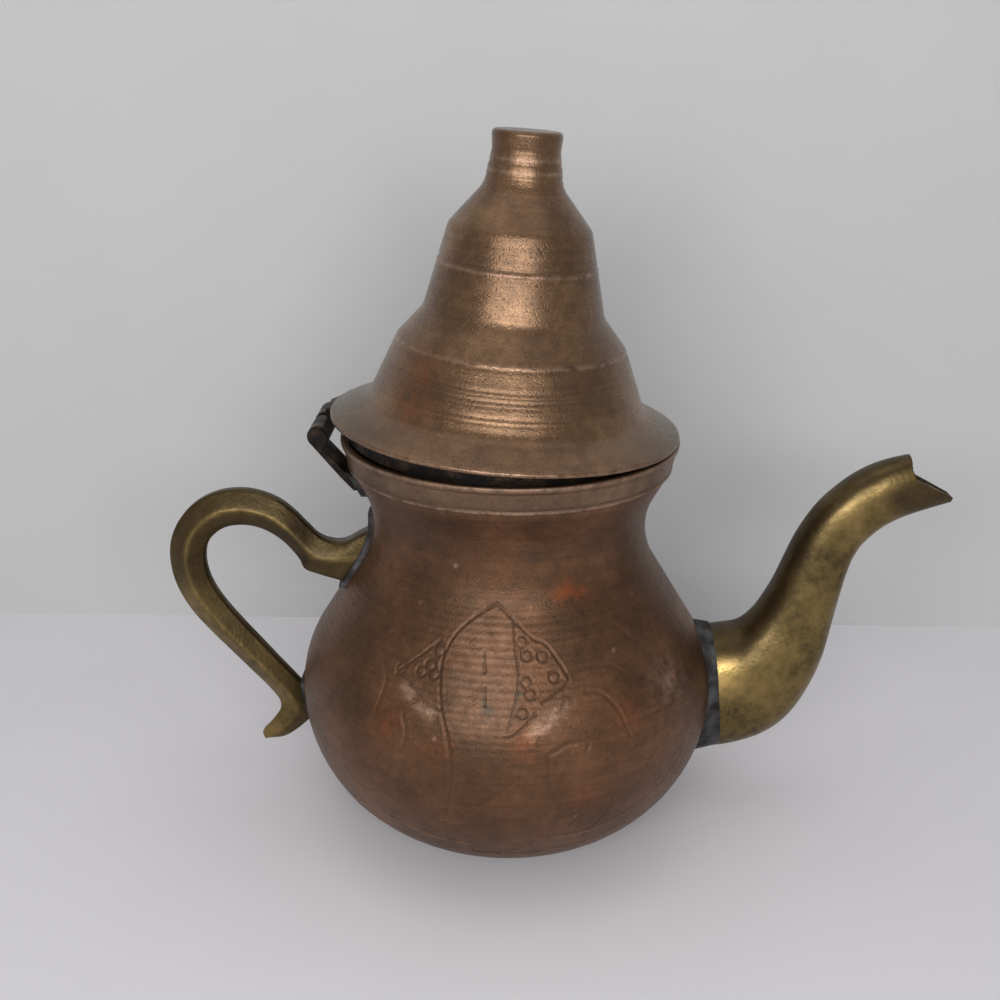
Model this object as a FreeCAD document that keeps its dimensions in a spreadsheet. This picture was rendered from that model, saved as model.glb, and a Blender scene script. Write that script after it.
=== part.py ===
import FreeCAD, Part
import math
import os

import Sketcher

# A spouted copper coffee pot with a hinged, stepped lid. Millimetres, +Z up.
# The origin is the centre of the base on the table. The spout points along +X
# and the handle along -X, where the lid's hinge is too.

SIZES = {
    # Spun copper vessel, from the foot to the mouth
    "vessel_wall": 1.0,
    "foot_radius": 33.8,
    "foot_height": 0.75,
    "belly_radius": 59.2,
    "belly_lower_corner": 12.9,
    "belly_lower_round": 43.0,
    "belly_upper_corner": 49.3,
    "belly_upper_round": 32.0,
    "neck_radius": 38.15,
    "neck_lower_round": 23.8,
    "neck_upper_round": 20.0,
    "lip_radius": 45.4,
    "lip_flare": 1.9,
    "mouth_height": 114.0,
    # Depths below the mouth
    "lip_depth": 8.6,
    "neck_upper_depth": 18.7,
    "neck_lower_depth": 30.8,
    # Hoop soldered round the mouth
    "band_thickness": 0.9,
    "band_depth": 7.4,
    "band_rise": 0.3,
    "band_round": 0.35,
    # Bottom disc and the solder seam that holds it
    "base_thickness": 1.0,
    "base_seam_leg": 0.8,
    # Strainer holes through the belly behind the spout
    "strainer_rise": 0.2,
    "strainer_pitch_radius": 7.5,
    "strainer_hole_radius": 1.9,
    # Cast spout: one oval section for each station along its curve, measured out from the belly
    "spout_wall": 1.6,
    "oval_rounding": 0.96,
    "root_out": -9.2, "root_z": 37.0, "root_heading": 2.0, "root_high": 18.2, "root_wide": 13.2,
    "heel_out": 4.5, "heel_z": 37.8, "heel_heading": 6.0, "heel_high": 18.4, "heel_wide": 12.8,
    "bend_out": 14.8, "bend_z": 42.0, "bend_heading": 23.0, "bend_high": 16.8, "bend_wide": 11.8,
    "knee_out": 21.4, "knee_z": 52.0, "knee_heading": 46.0, "knee_high": 13.2, "knee_wide": 10.2,
    "shin_out": 25.4, "shin_z": 65.2, "shin_heading": 68.0, "shin_high": 10.0, "shin_wide": 8.8,
    "throat_out": 30.4, "throat_z": 82.6, "throat_heading": 66.0, "throat_high": 8.5, "throat_wide": 7.6,
    "crook_out": 37.0, "crook_z": 92.4, "crook_heading": 43.0, "crook_high": 8.5, "crook_wide": 6.9,
    "crown_out": 47.0, "crown_z": 99.2, "crown_heading": 20.0, "crown_high": 8.6, "crown_wide": 6.0,
    "tip_out": 65.0, "tip_z": 104.4, "tip_heading": 17.0, "tip_high": 7.8, "tip_wide": 2.6,
    # Cut that leaves the beak, back and down from the tip: a notch in the crown and a long lower lip
    "notch_back": 14.0,
    "notch_rise": 2.0,
    "lip_cut_back": 12.6,
    "lip_cut_drop": 1.0,
    "beak_back": 1.3,
    "beak_drop": 6.6,
    # Solder collar round the spout's root
    "spout_solder_spread": 2.4,
    "spout_solder_out": 1.8,
    "spout_solder_edge": 0.15,
    # Cast handle: corners of its outline, each with its rounding. The wedge's end is measured from
    # the neck, the leg out from the belly, the rest back from the loop's outer or inner side, and
    # the upper heights down from the mouth.
    "handle_width": 9.0,
    "handle_facet": 3.1,
    "bar_width": 9.9,
    "bar_height": 10.4,
    "wedge_sink": 0.65, "wedge_top_depth": 27.6,
    "valley_back": 49.8, "valley_depth": 32.7, "valley_round": 0.8,
    "rise_back": 41.9, "rise_round": 10.4,
    "loop_span": 32.7, "loop_depth": 17.2, "loop_round": 20.2,
    "handle_out": 37.4, "leg_outer_depth": 49.4, "leg_outer_round": 29.0,
    "leg_end_out": 5.7, "leg_end_z": 28.5,
    "leg_foot_sink": 3.7, "leg_foot_z": 27.4,
    "leg_inner_sink": 7.2, "leg_inner_z": 25.5,
    "grip_corner_depth": 45.8, "grip_corner_round": 20.8,
    "grip_round": 10.2,
    "grip_span": 23.3, "arm_inner_round": 18.2,
    "wedge_corner_back": 28.5, "wedge_corner_depth": 40.7,
    "wedge_foot_out": 5.35, "wedge_foot_depth": 44.8,
    # Tail below the handle's lower end
    "tail_width": 6.0,
    "tail_facet": 1.4,
    "tail_root_out": 12.1, "tail_root_z": 36.6,
    "tail_heel_out": 5.3, "tail_heel_z": 37.2,
    "tail_bend_out": 6.5, "tail_bend_z": 29.4, "tail_bend_round": 6.2,
    "tail_end_out": 14.7, "tail_end_z": 18.9,
    "tail_low_out": 13.1, "tail_low_z": 17.1,
    "tail_under_out": 6.8, "tail_under_round": 7.0,
    # Solder run round the handle's two ends and the foot of the hinge leaf
    "solder_height": 1.4,
    "solder_spread": 1.3,
    "upper_solder_under": 0.2,
    "upper_solder_over": 4.6,
    "lower_solder_under": 2.0,
    "lower_solder_over": 10.0,
    # Hinge: pin beside the mouth, a rolled leaf on each part
    "pin_out": 5.6,
    "pin_rise": 2.0,
    "pin_radius": 1.6,
    "pin_clearance": 0.05,
    "pin_head_radius": 2.4,
    "pin_head_thickness": 0.9,
    "leaf_thickness": 1.3,
    "leaf_length": 10.5,
    "leaf_gap": 3.0,
    "leaf_end_clearance": 0.3,
    "leaf_bend_sink": 0.6,
    "leaf_bend_depth": 8.6,
    "leaf_foot_sink": 3.4,
    "leaf_foot_depth": 13.0,
    # Spun lid, heights above the lower edge of its flange and depths below its top
    "lid_wall": 0.9,
    "lid_shift": 1.62,
    "lid_rise": 4.75,
    "lid_seat_gap": 0.28,
    "flange_overhang": 2.1,
    "flange_edge": 1.0,
    "lid_wall_sink": 7.8, "lid_wall_foot": 5.8, "lid_wall_round": 5.0,
    "lower_step_radius": 30.7, "lower_step_height": 22.6, "lower_step_round": 1.2,
    "cone_foot_radius": 24.2, "cone_foot_height": 30.3, "cone_foot_round": 7.0,
    "upper_step_radius": 18.8, "upper_step_depth": 23.9, "upper_step_round": 3.2,
    "stem_radius": 10.2, "stem_depth": 13.6, "stem_round": 7.0,
    "bead_radius": 9.6, "bead_depth": 9.3, "bead_round": 1.6,
    "waist_radius": 8.8, "waist_depth": 4.9, "waist_round": 3.0,
    "finial_radius": 9.2, "lid_height": 76.5, "finial_round": 1.1,
    # Skirt under the lid's flange
    "skirt_clearance": 1.4,
    "skirt_thickness": 0.8,
    "skirt_depth": 5.0,
    # Fit left between soldered faces
    "solder_fit": 0.02,
}

Vector = FreeCAD.Vector
doc = FreeCAD.newDocument("coffee_pot")
sheet = doc.addObject("Spreadsheet::Sheet", "Sizes")
for row, (alias, number) in enumerate(SIZES.items(), start=1):
    sheet.set(f"A{row}", alias)
    sheet.set(f"B{row}", str(number))
    sheet.setAlias(f"B{row}", alias)
doc.recompute()
worked_rows = {}


def cell(formula):
    """Address of a size: a named cell, or a worked-out cell below the named ones."""
    if formula in SIZES:
        return f"B{list(SIZES).index(formula) + 1}"
    if formula not in worked_rows:
        row = len(SIZES) + len(worked_rows) + 2
        worked_rows[formula] = f"B{row}"
        sheet.set(f"B{row}", "=" + formula)
        sheet.recompute()
    return worked_rows[formula]


def value(formula):
    """Number that a formula of named sizes comes to."""
    return float(sheet.get(cell(formula)))


def bind(item, prop, formula):
    """Tie a property to a formula of named sizes."""
    item.setExpression(prop, "Sizes." + cell(formula))


def upright(place=FreeCAD.Placement(), y=0.0):
    """Placement of a sketch drawn in the XZ plane at depth y, inside another placement."""
    turn = FreeCAD.Placement(Vector(0, y, 0), FreeCAD.Rotation(Vector(1, 0, 0), 90))
    return place.multiply(turn)


def pin_point(sketch, geometry, end, x, y):
    """Hold one point of a sketch at its two coordinates."""
    for kind, axis, formula in (("DistanceX", -2, x), ("DistanceY", -1, y)):
        number = value(formula)
        if abs(number) < 1e-9:
            sketch.addConstraint(Sketcher.Constraint("PointOnObject", geometry, end, axis))
            continue
        index = sketch.addConstraint(Sketcher.Constraint(kind, -1, 1, geometry, end, number))
        bind(sketch, f"Constraints[{index}]", formula)


def roundings(points, corners):
    """Radius formula at each corner: its own, or less where two would not fit on the side between."""
    reaches, rooms = [], []
    for i, (x, y, rounding) in enumerate(corners):
        back = points[i - 1] - points[i]
        ahead = points[(i + 1) % len(points)] - points[i]
        radius = value(rounding) if rounding else 0.0
        reaches.append(radius / math.tan(back.getAngle(ahead) / 2))
        rooms.append(ahead.Length)
    shares = []
    for i, room in enumerate(rooms):
        taken = reaches[i] + reaches[(i + 1) % len(rooms)]
        shares.append(1 if taken < room else 0.88 * room / taken)
    formulas = []
    for i, (x, y, rounding) in enumerate(corners):
        share = min(shares[i - 1], shares[i])
        formulas.append(rounding if share == 1 or not rounding else f"{rounding} * {share:.6f}")
    return formulas


def draw(sketch, corners):
    """Closed outline of straight sides whose corners (x, y, rounding) are held by sizes."""
    points = [Vector(value(x), value(y), 0) for x, y, rounding in corners]
    formulas = roundings(points, corners)
    starts, ends, centres = [], [], []
    for i, formula in enumerate(formulas):
        here = points[i]
        back = (points[i - 1] - here).normalize()
        ahead = (points[(i + 1) % len(points)] - here).normalize()
        radius = value(formula) if formula else 0.0
        half = back.getAngle(ahead) / 2
        length = radius / math.tan(half)
        ends.append(here + back * length)
        starts.append(here + ahead * length)
        centres.append(here + (back + ahead).normalize() * (radius / math.sin(half)))
    sides = []
    for i in range(len(corners)):
        side = Part.LineSegment(starts[i], ends[(i + 1) % len(corners)])
        sides.append(sketch.addGeometry(side))
    for i, (x, y, rounding) in enumerate(corners):
        before, after = sides[i - 1], sides[i]
        if not rounding:
            sketch.addConstraint(Sketcher.Constraint("Coincident", before, 2, after, 1))
            pin_point(sketch, after, 1, x, y)
            continue
        first = math.atan2(ends[i].y - centres[i].y, ends[i].x - centres[i].x)
        last = math.atan2(starts[i].y - centres[i].y, starts[i].x - centres[i].x)
        left_turn = (points[i] - points[i - 1]).cross(points[(i + 1) % len(points)] - points[i]).z > 0
        low, high = (first, last) if left_turn else (last, first)
        radius = value(formulas[i])
        circle = Part.Circle(centres[i], Vector(0, 0, 1), radius)
        arc = sketch.addGeometry(Part.ArcOfCircle(circle, low, high))
        near, far = (1, 2) if left_turn else (2, 1)
        sketch.addConstraint(Sketcher.Constraint("Tangent", before, 2, arc, near))
        sketch.addConstraint(Sketcher.Constraint("Tangent", arc, far, after, 1))
        index = sketch.addConstraint(Sketcher.Constraint("Radius", arc, radius))
        bind(sketch, f"Constraints[{index}]", formulas[i])
        corner = sketch.addGeometry(Part.Point(points[i]), True)
        sketch.addConstraint(Sketcher.Constraint("PointOnObject", corner, 1, before))
        sketch.addConstraint(Sketcher.Constraint("PointOnObject", corner, 1, after))
        pin_point(sketch, corner, 1, x, y)
    return sketch


def outline(name, corners, place):
    """Free sketch at a placement."""
    sketch = doc.addObject("Sketcher::SketchObject", name + "_outline")
    sketch.Placement = place
    return draw(sketch, corners)


def origin_plane(body, role):
    """One of a body's own origin planes."""
    return next(item for item in body.Origin.OriginFeatures if item.Role == role)


def body_outline(body, name, role, corners):
    """Sketch on one of a body's own origin planes."""
    sketch = body.newObject("Sketcher::SketchObject", name + "_outline")
    sketch.AttachmentSupport = (origin_plane(body, role), "")
    sketch.MapMode = "FlatFace"
    return draw(sketch, corners)


def turned(name, corners, place=FreeCAD.Placement()):
    """Solid of revolution about the Z axis of a placement."""
    solid = doc.addObject("Part::Revolution", name)
    solid.Source = outline(name, corners, upright(place))
    solid.Axis = place.Rotation.multVec(Vector(0, 0, 1))
    solid.Base = place.Base
    solid.Angle = 360
    solid.Solid = True
    return solid


def spun_shell(name, solid, wall, open_directions):
    """Sheet-metal shell of a turned solid, open at the flat faces that look these ways."""
    doc.recompute()
    faces = []
    for number, face in enumerate(solid.Shape.Faces, start=1):
        if not isinstance(face.Surface, Part.Plane):
            continue
        normal = face.normalAt(0, 0)
        if any(normal.getAngle(direction) < 0.01 for direction in open_directions):
            faces.append(f"Face{number}")
    shell = doc.addObject("Part::Thickness", name)
    shell.Faces = (solid, faces)
    shell.Mode = "Skin"
    shell.Join = "Intersection"
    bind(shell, "Value", f"-{wall}")
    return shell


def extruded(name, corners, length, place=FreeCAD.Placement(), start="0"):
    """Prism along +Y from a depth, on an outline in the XZ plane."""
    prism = doc.addObject("Part::Extrusion", name)
    prism.Base = outline(name, corners, upright(place, value(start)))
    prism.DirMode = "Custom"
    prism.Dir = Vector(0, 1, 0)
    prism.Solid = True
    bind(prism, "LengthFwd", length)
    return prism


def cut(name, base, *tools):
    """Base less each tool in turn."""
    for number, tool in enumerate(tools, start=1):
        result = doc.addObject("Part::Cut", f"{name}_cut_{number}")
        result.Base = base
        result.Tool = tool
        base = result
    return base


def fused(name, *items):
    """One solid from several."""
    result = doc.addObject("Part::MultiFuse", name)
    result.Shapes = list(items)
    return result


PIN_X = "(lip_radius + pin_out)"
PIN_Z = "(mouth_height + pin_rise)"


def rod(name, radius, length, start):
    """Cylinder along the hinge pin, from a depth."""
    item = doc.addObject("Part::Cylinder", name)
    bind(item, "Radius", radius)
    bind(item, "Height", length)
    item.Placement = FreeCAD.Placement(
        Vector(-value(PIN_X), value(start), value(PIN_Z)),
        FreeCAD.Rotation(Vector(1, 0, 0), -90))
    return item


def solder_patch(name, low, high, start, length, *tools):
    """Solder standing on the copper between two heights and two depths, on the -X side."""
    block = doc.addObject("Part::Box", name + "_block")
    reach = "belly_radius + 2 * solder_height"
    bind(block, "Length", reach)
    bind(block, "Width", length)
    bind(block, "Height", f"{high} - ({low})")
    block.Placement.Base = Vector(-value(reach), value(start), value(low))
    patch = doc.addObject("Part::Common", name + "_patch")
    patch.Base = vessel_skin
    patch.Tool = block
    return cut(name, patch, *tools)


nodes = {}


def keep(label, item):
    """Name a finished sub-part."""
    item.Label = label
    nodes[label] = item
    return item


# Vessel: one copper sheet spun to a belly, a waisted neck and a flared mouth.
lip_foot_radius = "(lip_radius - lip_flare)"
lip_foot_height = "(mouth_height - lip_depth)"
vessel_core = turned("vessel_core", [
    ("0", "0", None),
    ("foot_radius", "0", None),
    ("foot_radius", "foot_height", None),
    ("belly_radius", "belly_lower_corner", "belly_lower_round"),
    ("belly_radius", "belly_upper_corner", "belly_upper_round"),
    ("neck_radius", "mouth_height - neck_lower_depth", "neck_lower_round"),
    ("neck_radius", "mouth_height - neck_upper_depth", "neck_upper_round"),
    (lip_foot_radius, lip_foot_height, None),
    ("lip_radius", "mouth_height", None),
    ("0", "mouth_height", None),
])
vessel_skin = doc.addObject("Part::Offset", "vessel_skin")
vessel_skin.Source = vessel_core
vessel_skin.Join = "Intersection"
bind(vessel_skin, "Value", "solder_height")
vessel_shell = spun_shell("vessel_shell", vessel_core, "vessel_wall",
                          [Vector(0, 0, 1), Vector(0, 0, -1)])
strainer_holes = []
for number in range(7):
    turn = math.radians(60 * number)
    reach = value("strainer_pitch_radius") if number else 0.0
    hole = doc.addObject("Part::Cylinder", f"strainer_hole_{number}")
    bind(hole, "Radius", "strainer_hole_radius")
    bind(hole, "Height", "belly_radius")
    hole.Placement = FreeCAD.Placement(
        Vector(value("neck_radius"), reach * math.sin(turn),
               value("heel_z + strainer_rise") + reach * math.cos(turn)),
        FreeCAD.Rotation(Vector(0, 1, 0), 90))
    strainer_holes.append(hole)
vessel = cut("vessel", vessel_shell, fused("strainer", *strainer_holes))
keep("vessel_body", vessel)

# Bottom disc, let into the foot, and the solder seam in the corner above it.
base = doc.addObject("PartDesign::Body", "base")
base_sketch = base.newObject("Sketcher::SketchObject", "base_circle")
base_sketch.AttachmentSupport = (origin_plane(base, "XY_Plane"), "")
base_sketch.MapMode = "FlatFace"
base_radius = "foot_radius - vessel_wall - solder_fit"
base_sketch.addGeometry(Part.Circle(Vector(0, 0, 0), Vector(0, 0, 1), value(base_radius)))
base_sketch.addConstraint(Sketcher.Constraint("Coincident", 0, 3, -1, 1))
base_size = base_sketch.addConstraint(Sketcher.Constraint("Radius", 0, value(base_radius)))
bind(base_sketch, f"Constraints[{base_size}]", base_radius)
base_pad = base.newObject("PartDesign::Pad", "base_pad")
base_pad.Profile = base_sketch
bind(base_pad, "Length", "base_thickness")
keep("base_disc", base)

base_solder = turned("base_seam", [
    (base_radius + " - base_seam_leg", "base_thickness", None),
    (base_radius, "base_thickness", None),
    (base_radius, "base_thickness + base_seam_leg", None),
])
keep("base_solder", base_solder)

# Hoop round the mouth: a strip bent to the lip's slope, with a rounded top edge.
lip_slope = "lip_flare / lip_depth"
band_bottom = "(mouth_height - band_depth)"
band_foot = f"lip_radius - band_depth * {lip_slope} + solder_fit"
band_head = f"lip_radius + band_rise * {lip_slope} + solder_fit"
band = doc.addObject("PartDesign::Body", "band")
band_sketch = body_outline(band, "band", "XZ_Plane", [
    (band_foot, band_bottom, None),
    (f"{band_foot} + band_thickness", band_bottom, None),
    (f"{band_head} + band_thickness", "mouth_height + band_rise", "band_round"),
    (band_head, "mouth_height + band_rise", "band_round"),
])
band_turn = band.newObject("PartDesign::Revolution", "band_turn")
band_turn.Profile = band_sketch
band_turn.ReferenceAxis = (band_sketch, ["V_Axis"])
band_turn.Angle = 360
keep("rim_band", band)

# Spout: cast oval tube through the stations, hollow, cut to a beak.
STATIONS = ("root", "heel", "bend", "knee", "shin", "throat", "crook", "crown", "tip")


def oval(station, name, grow):
    """Oval section across the spout's curve, larger or smaller by a named amount."""
    high = f"({station}_high + {grow})"
    wide = f"({station}_wide + {grow})"
    rounding = f"{wide} * oval_rounding"
    place = FreeCAD.Placement(
        Vector(value(f"belly_radius + {station}_out"), 0, value(station + "_z")),
        FreeCAD.Rotation(Vector(0, 1, 0), 90 - value(station + "_heading")))
    return outline(f"{station}_{name}", [
        (high, wide, rounding),
        ("-" + high, wide, rounding),
        ("-" + high, "-" + wide, rounding),
        (high, "-" + wide, rounding),
    ], place)


def tube(name, grow):
    """Solid through all the stations' ovals."""
    item = doc.addObject("Part::Loft", name)
    item.Sections = [oval(station, name, grow) for station in STATIONS]
    item.Solid = True
    return item


spout_outside = tube("spout_outside", "0")
spout_bore = tube("spout_bore", "(-spout_wall)")
beak_clear = "2 * tip_high"
tip_x = "belly_radius + tip_out"
beak_cut = extruded("beak_cut", [
    (tip_x + " - notch_back", "tip_z + " + beak_clear, None),
    (tip_x + " - notch_back", "tip_z + notch_rise", None),
    (tip_x + " - lip_cut_back", "tip_z - lip_cut_drop", None),
    (tip_x + " - beak_back", "tip_z - beak_drop", None),
    (tip_x + " - beak_back", "tip_z - beak_drop - " + beak_clear, None),
    (f"{tip_x} + {beak_clear}", "tip_z - beak_drop - " + beak_clear, None),
    (f"{tip_x} + {beak_clear}", "tip_z + " + beak_clear, None),
], "4 * crown_wide", start="-2 * crown_wide")
keep("spout", cut("spout", spout_outside, spout_bore, vessel_core, beak_cut))

collar = doc.addObject("Part::Loft", "spout_collar")
collar_root = oval("root", "collar", "spout_solder_spread")
collar_end = oval("heel", "collar", "spout_solder_edge")
collar_end.Placement.Base.x = value("belly_radius + spout_solder_out")
collar.Sections = [collar_root, collar_end]
collar.Solid = True
keep("spout_solder", cut("spout_solder", collar, spout_outside, vessel_core))

# Handle: cast brass loop, faceted along both sides, with a wedge and a tail.
def casting(name, corners, width, facet):
    """Flat casting of an outline, its long edges cut back to facets, turned to face -X."""
    body = doc.addObject("PartDesign::Body", name)
    pad = body.newObject("PartDesign::Pad", name + "_pad")
    pad.Profile = body_outline(body, name, "XZ_Plane", corners)
    pad.SideType = "Symmetric"
    bind(pad, "Length", width)
    doc.recompute()
    sides = [f"Face{number}" for number, face in enumerate(pad.Shape.Faces, start=1)
             if abs(face.normalAt(0, 0).y) > 0.99]
    facets = body.newObject("PartDesign::Chamfer", name + "_facets")
    facets.Base = (pad, sides)
    bind(facets, "Size", facet)
    body.Placement = FreeCAD.Placement(Vector(0, 0, 0), FreeCAD.Rotation(Vector(0, 0, 1), 180))
    return body


handle_reach = "belly_radius + handle_out"
grip_x = handle_reach + " - bar_width"
valley_z = "mouth_height - valley_depth"
loop_top = "mouth_height - loop_depth"
grip_top = loop_top + " - bar_height"
wedge_top = "mouth_height - wedge_top_depth"
wedge_foot = "mouth_height - wedge_foot_depth"
handle_loop = casting("handle_loop", [
    ("neck_radius + wedge_foot_out", wedge_foot, None),
    (grip_x + " - wedge_corner_back", "mouth_height - wedge_corner_depth", None),
    (grip_x + " - grip_span", grip_top, "arm_inner_round"),
    (grip_x, grip_top, "grip_round"),
    (grip_x, "mouth_height - grip_corner_depth", "grip_corner_round"),
    ("belly_radius - leg_inner_sink", "leg_inner_z", None),
    ("belly_radius + leg_end_out", "leg_end_z", None),
    (handle_reach, "mouth_height - leg_outer_depth", "leg_outer_round"),
    (handle_reach, loop_top, "loop_round"),
    (handle_reach + " - loop_span", loop_top, "loop_round"),
    (handle_reach + " - rise_back", valley_z, "rise_round"),
    (handle_reach + " - valley_back", valley_z, "valley_round"),
    ("neck_radius - wedge_sink", wedge_top, None),
], "handle_width", "handle_facet")
handle_tail = casting("handle_tail", [
    ("belly_radius - leg_foot_sink", "leg_foot_z", None),
    ("belly_radius + tail_under_out", "tail_low_z", "tail_under_round"),
    ("belly_radius + tail_low_out", "tail_low_z", None),
    ("belly_radius + tail_end_out", "tail_end_z", None),
    ("belly_radius + tail_bend_out", "tail_bend_z", "tail_bend_round"),
    ("belly_radius + tail_root_out", "tail_root_z", None),
    ("belly_radius + tail_heel_out", "tail_heel_z", None),
], "tail_width", "tail_facet")
keep("handle", cut("handle", fused("handle_whole", handle_loop, handle_tail), vessel_core))

# Solder run round the handle's ends.
handle_solder_start = "-handle_width / 2 - solder_spread"
handle_solder_width = "handle_width + 2 * solder_spread"
keep("handle_upper_solder", solder_patch(
    "handle_upper_solder", wedge_foot + " + upper_solder_under", wedge_top + " + upper_solder_over",
    handle_solder_start, handle_solder_width, nodes["handle"], vessel_core))
keep("handle_lower_solder", solder_patch(
    "handle_lower_solder", "leg_inner_z - lower_solder_under", "leg_end_z + lower_solder_over",
    handle_solder_start, handle_solder_width, nodes["handle"], vessel_core))

# Hinge pin with a peened head at each end.
knuckle = "pin_radius + pin_clearance + leaf_thickness"
bore = "pin_radius + pin_clearance"
pin_start = "-leaf_gap / 2 - leaf_length - leaf_end_clearance"
pin_length = "leaf_gap + 2 * leaf_length + 2 * leaf_end_clearance"
pin = fused(
    "pin",
    rod("pin_shank", "pin_radius", pin_length, pin_start),
    rod("pin_head_near", "pin_head_radius", "pin_head_thickness", pin_start + " - pin_head_thickness"),
    rod("pin_head_far", "pin_head_radius", "pin_head_thickness", f"{pin_start} + {pin_length}"))
keep("hinge_pin", pin)

# Leaf on the pot: a strip rolled round the pin, whose leg runs down to the neck.
near_start = "-leaf_gap / 2 - leaf_length"
bend_x = "(lip_radius - leaf_bend_sink)"
bend_z = "(mouth_height - leaf_bend_depth)"
foot_x = "(lip_radius - leaf_foot_sink)"
foot_z = "(mouth_height - leaf_foot_depth)"
leg_length = f"sqrt(({PIN_X} - {bend_x})^2 + ({PIN_Z} - {bend_z})^2)"
leg_x = f"({PIN_X} - {bend_x}) / {leg_length}"
leg_z = f"({PIN_Z} - {bend_z}) / {leg_length}"
near_leg = extruded("near_leg", [
    (f"-{PIN_X} - {leg_z} * ({knuckle})", f"{PIN_Z} - {leg_x} * ({knuckle})", None),
    (f"-{bend_x} - leaf_thickness / 2", f"{bend_z} - leaf_thickness / 2", None),
    (f"-{foot_x}", foot_z, None),
    (f"-{foot_x} + 4 * leaf_thickness", foot_z, None),
    (f"-{bend_x} + 4 * leaf_thickness", bend_z, None),
    (f"-{bend_x} + leaf_thickness / 2", f"{bend_z} + leaf_thickness / 2", None),
    (f"-{PIN_X} - {leg_z} * ({bore})", f"{PIN_Z} - {leg_x} * ({bore})", None),
], "leaf_length", start=near_start)
near_leaf = fused("near_leaf", rod("near_knuckle", knuckle, "leaf_length", near_start), near_leg)
pin_hole_near = rod("pin_hole_near", bore, "leaf_length", near_start)
keep("hinge_body_leaf", cut("hinge_body_leaf", near_leaf, pin_hole_near, vessel_core, band))
keep("hinge_body_solder", solder_patch(
    "hinge_body_solder", foot_z + " - solder_spread", bend_z,
    near_start + " - solder_spread", "leaf_length + 2 * solder_spread",
    nodes["hinge_body_leaf"], vessel_core, band))

# The lid is made upright about its own axis, then turned about the pin until
# the flange's far edge lies just above the hoop: the tilt that it rests at.
lid_offset = f"({PIN_X} - lid_shift)"
flange_radius = "(lip_radius + flange_overhang)"
lid_wall_radius = "(lip_radius - lid_wall_sink)"
skirt_radius = "(lip_radius - vessel_wall - skirt_clearance)"
pin_centre = Vector(-value(PIN_X), 0, value(PIN_Z))
far_edge = value(f"{lid_offset} + {flange_radius}")
far_reach = math.hypot(far_edge, value("lid_rise"))
seat_drop = value("pin_rise - band_rise - lid_seat_gap")
lid_tilt = math.degrees(math.atan2(value("lid_rise"), far_edge) + math.asin(seat_drop / far_reach))
lid_turn = FreeCAD.Placement(Vector(0, 0, 0), FreeCAD.Rotation(Vector(0, 1, 0), lid_tilt), pin_centre)
lid_place = lid_turn.multiply(FreeCAD.Placement(
    pin_centre + Vector(value(lid_offset), 0, value("lid_rise")), FreeCAD.Rotation()))
lid_down = lid_place.Rotation.multVec(Vector(0, 0, -1))

lid_solid = turned("lid_solid", [
    ("0", "0", None),
    (flange_radius, "0", None),
    (flange_radius, "flange_edge", None),
    (lid_wall_radius, "lid_wall_foot", "lid_wall_round"),
    ("lower_step_radius", "lower_step_height", "lower_step_round"),
    ("cone_foot_radius", "cone_foot_height", "cone_foot_round"),
    ("upper_step_radius", "lid_height - upper_step_depth", "upper_step_round"),
    ("stem_radius", "lid_height - stem_depth", "stem_round"),
    ("bead_radius", "lid_height - bead_depth", "bead_round"),
    ("waist_radius", "lid_height - waist_depth", "waist_round"),
    ("finial_radius", "lid_height", "finial_round"),
    ("0", "lid_height", None),
], lid_place)
lid = spun_shell("lid", lid_solid, "lid_wall", [lid_down])
keep("lid_shell", lid)

# Skirt: a ring soldered under the flange, which drops into the mouth.
flange_slope = f"(lid_wall_foot - flange_edge) / ({flange_radius} - {lid_wall_radius})"
flange_drop = f"(lid_wall * sqrt(1 + ({flange_slope})^2) + solder_fit)"
skirt_top = f"flange_edge + ({flange_radius} - {skirt_radius}) * {flange_slope} - {flange_drop}"
skirt = turned("skirt", [
    (f"{skirt_radius} - skirt_thickness", "-skirt_depth", None),
    (skirt_radius, "-skirt_depth", None),
    (skirt_radius, skirt_top, None),
    (f"{skirt_radius} - skirt_thickness", f"{skirt_top} + skirt_thickness * {flange_slope}", None),
], lid_place)
keep("lid_skirt", skirt)

# Leaf on the lid: a strip rolled round the pin and soldered under the flange.
far_start = "leaf_gap / 2"
strap_x = f"{lid_offset} - {skirt_radius} - leaf_thickness / 2"
strap_run = f"({flange_radius} - {lid_offset} + {strap_x})"
strap_z = f"lid_rise + flange_edge + {strap_run} * {flange_slope} - {flange_drop}"
strap_foot = f"{strap_z} - ({strap_x}) * {flange_slope}"
far_strap = extruded("far_strap", [
    ("0", f"{strap_foot} - leaf_thickness", None),
    (strap_x, f"{strap_z} - leaf_thickness", None),
    (strap_x, strap_z, None),
    ("0", strap_foot, None),
], "leaf_length", lid_turn.multiply(FreeCAD.Placement(pin_centre, FreeCAD.Rotation())), far_start)
far_leaf = fused("far_leaf", rod("far_knuckle", knuckle, "leaf_length", far_start), far_strap)
pin_hole_far = rod("pin_hole_far", bore, "leaf_length", far_start)
keep("hinge_lid_leaf", cut("hinge_lid_leaf", far_leaf, pin_hole_far, lid))

doc.recompute()
for item in doc.Objects:
    if "Invalid" in item.State or "Error" in item.State:
        raise RuntimeError(f"{item.Name} did not build: {item.State}")
for label, item in nodes.items():
    if item.Shape.isNull() or not item.Shape.isValid() or not item.Shape.Solids:
        raise RuntimeError(f"{label} has no sound solid")

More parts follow.
